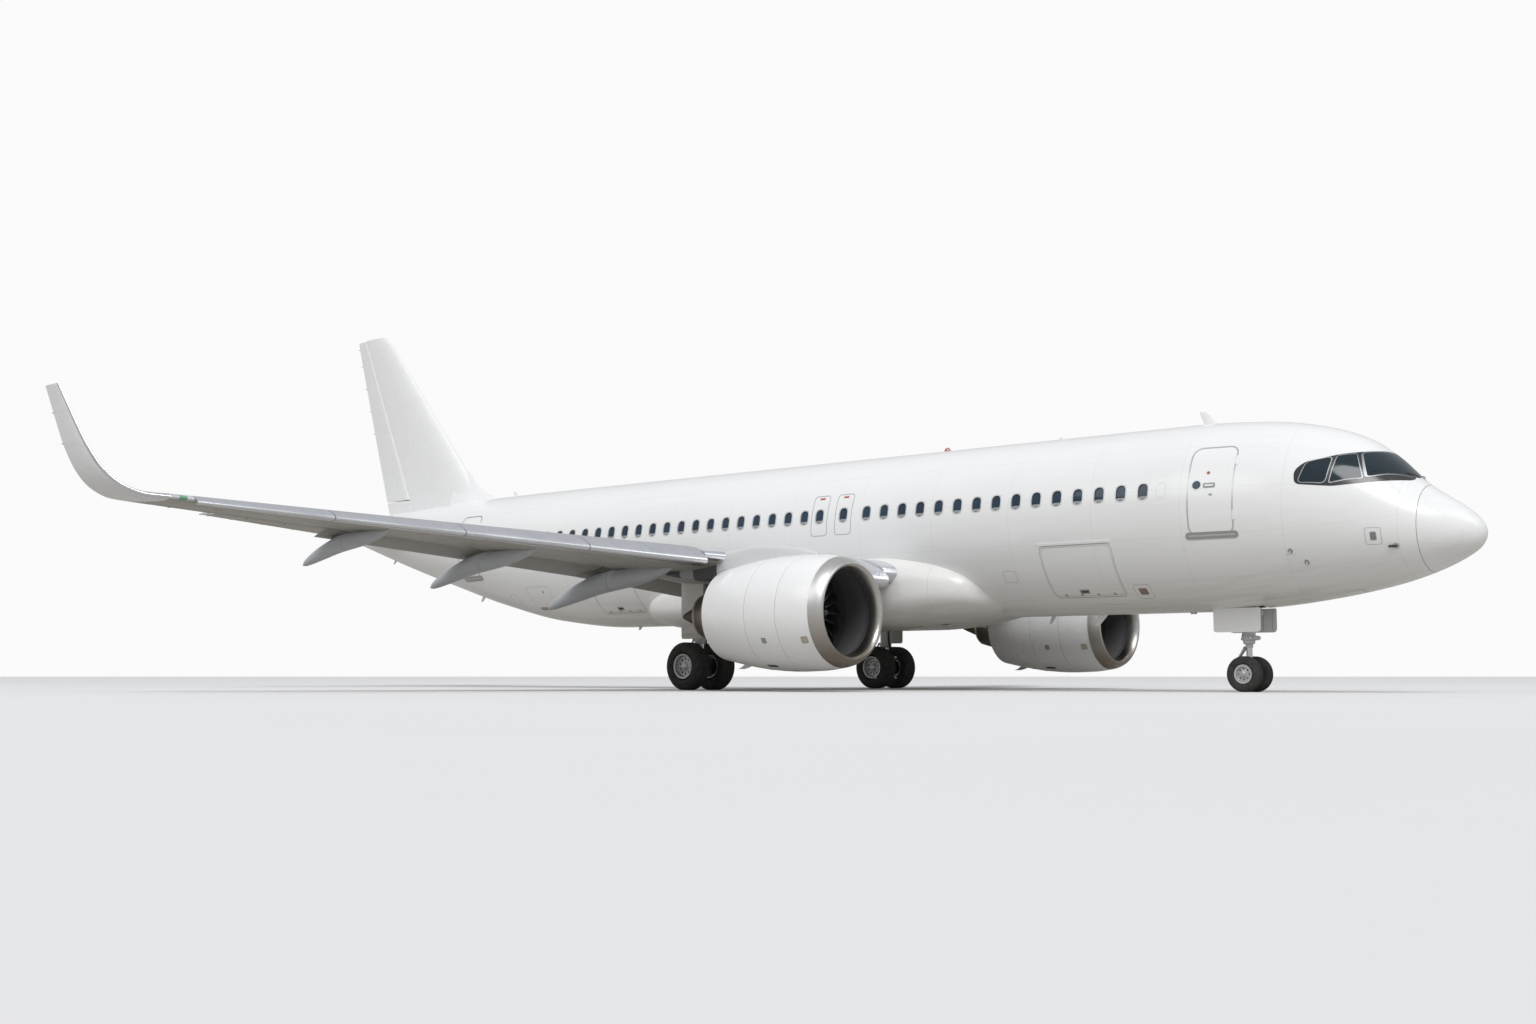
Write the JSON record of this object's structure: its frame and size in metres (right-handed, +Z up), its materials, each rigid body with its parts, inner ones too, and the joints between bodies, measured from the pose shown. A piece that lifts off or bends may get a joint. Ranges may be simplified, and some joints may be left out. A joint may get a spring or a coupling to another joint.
{
  "type": "airliner",
  "caption": "Single-aisle jet airliner on its landing gear, with underwing fan engines, moving control surfaces, hinged cargo and gear doors, and curved winglets.",
  "frame": {"origin": "on the ground under the middle of the aircraft's box", "axes": "+X towards the nose, +Y to port, +Z up"},
  "size_m": [37.57, 35.8354, 11.76],
  "materials": {
    "white_paint": "gloss white paint on aluminium skin",
    "white_composite": "gloss white paint on composite",
    "radome_paint": "gloss white paint on composite",
    "belly_composite": "satin grey paint with dirt, on composite",
    "wing_paint": "satin mid grey paint on aluminium",
    "wing_composite": "satin mid grey paint on composite",
    "grey_composite": "satin light grey paint on composite",
    "cowl_paint": "gloss white paint",
    "pylon_paint": "satin light grey paint",
    "bare_metal": "polished bare metal",
    "hot_metal": "heat tinted metal",
    "fan_blade": "black composite",
    "cockpit_glass": "dark glazing in black frames",
    "gear_paint": "grey paint",
    "wheel_metal": "satin",
    "tyre_rubber": "black rubber"
  },
  "bodies": {
    "airframe": {"fuselage": "white_paint", "cockpit_glazing": "cockpit_glass", "exhaust_cone": "hot_metal", "belly_fairing": "belly_composite", "fin": "white_composite", "nose_gear_leg": "gear_paint", "door_front_left": "white_paint", "door_front_right": "white_paint", "door_rear_left": "white_paint", "door_rear_right": "white_paint", "wing_left": "wing_paint", "wing_right": "wing_paint", "winglet_left": "grey_composite", "winglet_right": "grey_composite", "slat_inboard_left": "bare_metal", "slat_inboard_right": "bare_metal", "slat_outboard_left": "bare_metal", "slat_outboard_right": "bare_metal", "flap_inboard_left": "wing_composite", "flap_inboard_right": "wing_composite", "flap_outboard_left": "wing_composite", "flap_outboard_right": "wing_composite", "tailplane_left": "wing_composite", "tailplane_right": "wing_composite", "pylon_left": "pylon_paint", "pylon_right": "pylon_paint", "inlet_lip_left": "bare_metal", "inlet_lip_right": "bare_metal", "nacelle_left": "cowl_paint", "nacelle_right": "cowl_paint", "engine_core_left": "hot_metal", "engine_core_right": "hot_metal", "main_gear_leg_left": "gear_paint", "main_gear_leg_right": "gear_paint"},
    "nose_fork": {"nose_gear_fork": "gear_paint"},
    "nose_wheels": {"nose_wheel_hubs": "wheel_metal", "nose_tyre_left": "tyre_rubber", "nose_tyre_right": "tyre_rubber"},
    "rudder": {"rudder": "white_composite"},
    "radome": {"radome": "radome_paint"},
    "cargo_door_front": {"cargo_door_front": "white_paint"},
    "cargo_door_rear": {"cargo_door_rear": "white_paint"},
    "main_wheels_left": {"main_wheel_hubs_left": "wheel_metal", "main_tyre_inner_left": "tyre_rubber", "main_tyre_outer_left": "tyre_rubber"},
    "fan_left": {"fan_left": "fan_blade"},
    "aileron_left": {"aileron_left": "wing_composite"},
    "elevator_left": {"elevator_left": "wing_composite"},
    "nose_gear_door_left": {"nose_gear_door_left": "white_composite"},
    "main_gear_door_left": {"main_gear_door_left": "belly_composite"},
    "main_wheels_right": {"main_wheel_hubs_right": "wheel_metal", "main_tyre_inner_right": "tyre_rubber", "main_tyre_outer_right": "tyre_rubber"},
    "fan_right": {"fan_right": "fan_blade"},
    "aileron_right": {"aileron_right": "wing_composite"},
    "elevator_right": {"elevator_right": "wing_composite"},
    "nose_gear_door_right": {"nose_gear_door_right": "white_composite"},
    "main_gear_door_right": {"main_gear_door_right": "belly_composite"}
  },
  "joints": [
    {"name": "nose_steering", "type": "hinge", "parent": "airframe", "child": "nose_fork", "pos_m": [13.715, 0, 1.02], "axis": [0, 0, 1], "range_deg": [-75, 75]},
    {"name": "nose_wheel_spin", "type": "hinge", "parent": "nose_fork", "child": "nose_wheels", "pos_m": [13.715, 0, 0.38171], "axis": [0, 1, 0], "continuous": true},
    {"name": "main_wheel_spin_left", "type": "hinge", "parent": "airframe", "child": "main_wheels_left", "pos_m": [1.075, 3.795, 0.579], "axis": [0, 1, 0], "continuous": true},
    {"name": "main_wheel_spin_right", "type": "hinge", "parent": "airframe", "child": "main_wheels_right", "pos_m": [1.075, -3.795, 0.579], "axis": [0, 1, 0], "continuous": true},
    {"name": "fan_spin_left", "type": "hinge", "parent": "airframe", "child": "fan_left", "pos_m": [6.185, 5.755, 1.72], "axis": [1, 0, 0], "continuous": true},
    {"name": "fan_spin_right", "type": "hinge", "parent": "airframe", "child": "fan_right", "pos_m": [6.185, -5.755, 1.72], "axis": [1, 0, 0], "continuous": true},
    {"name": "aileron_left_hinge", "type": "hinge", "parent": "airframe", "child": "aileron_left", "pos_m": [-1.67356, 12.73924, 3.635], "axis": [-0.3144, 0.9454, 0.0859], "range_deg": [-25, 25]},
    {"name": "aileron_right_hinge", "type": "hinge", "parent": "airframe", "child": "aileron_right", "pos_m": [-1.67356, -12.73924, 3.635], "axis": [0.3144, 0.9454, -0.0859], "range_deg": [-25, 25]},
    {"name": "elevator_left_hinge", "type": "hinge", "parent": "airframe", "child": "elevator_left", "pos_m": [-16.3201, 1.41692, 4.88305], "axis": [-0.2894, 0.9523, 0.0968], "range_deg": [-17, 30]},
    {"name": "elevator_right_hinge", "type": "hinge", "parent": "airframe", "child": "elevator_right", "pos_m": [-16.3201, -1.41692, 4.88305], "axis": [0.2894, 0.9523, -0.0968], "range_deg": [-17, 30]},
    {"name": "rudder_hinge", "type": "hinge", "parent": "airframe", "child": "rudder", "pos_m": [-15.57573, 0, 6.12], "axis": [-0.4267, 0, 0.9044], "range_deg": [-25, 25]},
    {"name": "radome_hinge", "type": "hinge", "parent": "airframe", "child": "radome", "pos_m": [17.739, 0, 4.185], "axis": [0, -1, 0], "range_deg": [0, 80]},
    {"name": "cargo_door_front_hinge", "type": "hinge", "parent": "airframe", "child": "cargo_door_front", "pos_m": [10.53, -1.87505, 3.224], "axis": [-1, 0, 0], "range_deg": [0, 100]},
    {"name": "cargo_door_rear_hinge", "type": "hinge", "parent": "airframe", "child": "cargo_door_rear", "pos_m": [-4.265, -1.87505, 3.224], "axis": [-1, 0, 0], "range_deg": [0, 100]},
    {"name": "nose_gear_door_left_hinge", "type": "hinge", "parent": "airframe", "child": "nose_gear_door_left", "pos_m": [15.295, 0.356, 1.94199], "axis": [0.9919, 0, 0.1273], "range_deg": [0, 88]},
    {"name": "nose_gear_door_right_hinge", "type": "hinge", "parent": "airframe", "child": "nose_gear_door_right", "pos_m": [15.295, -0.356, 1.94199], "axis": [-0.9919, 0, -0.1273], "range_deg": [0, 88]},
    {"name": "main_gear_door_left_hinge", "type": "hinge", "parent": "airframe", "child": "main_gear_door_left", "pos_m": [1.235, 0.196, 1.48], "axis": [-1, 0, 0], "range_deg": [0, 85]},
    {"name": "main_gear_door_right_hinge", "type": "hinge", "parent": "airframe", "child": "main_gear_door_right", "pos_m": [1.235, -0.196, 1.48], "axis": [1, 0, 0], "range_deg": [0, 85]}
  ]
}
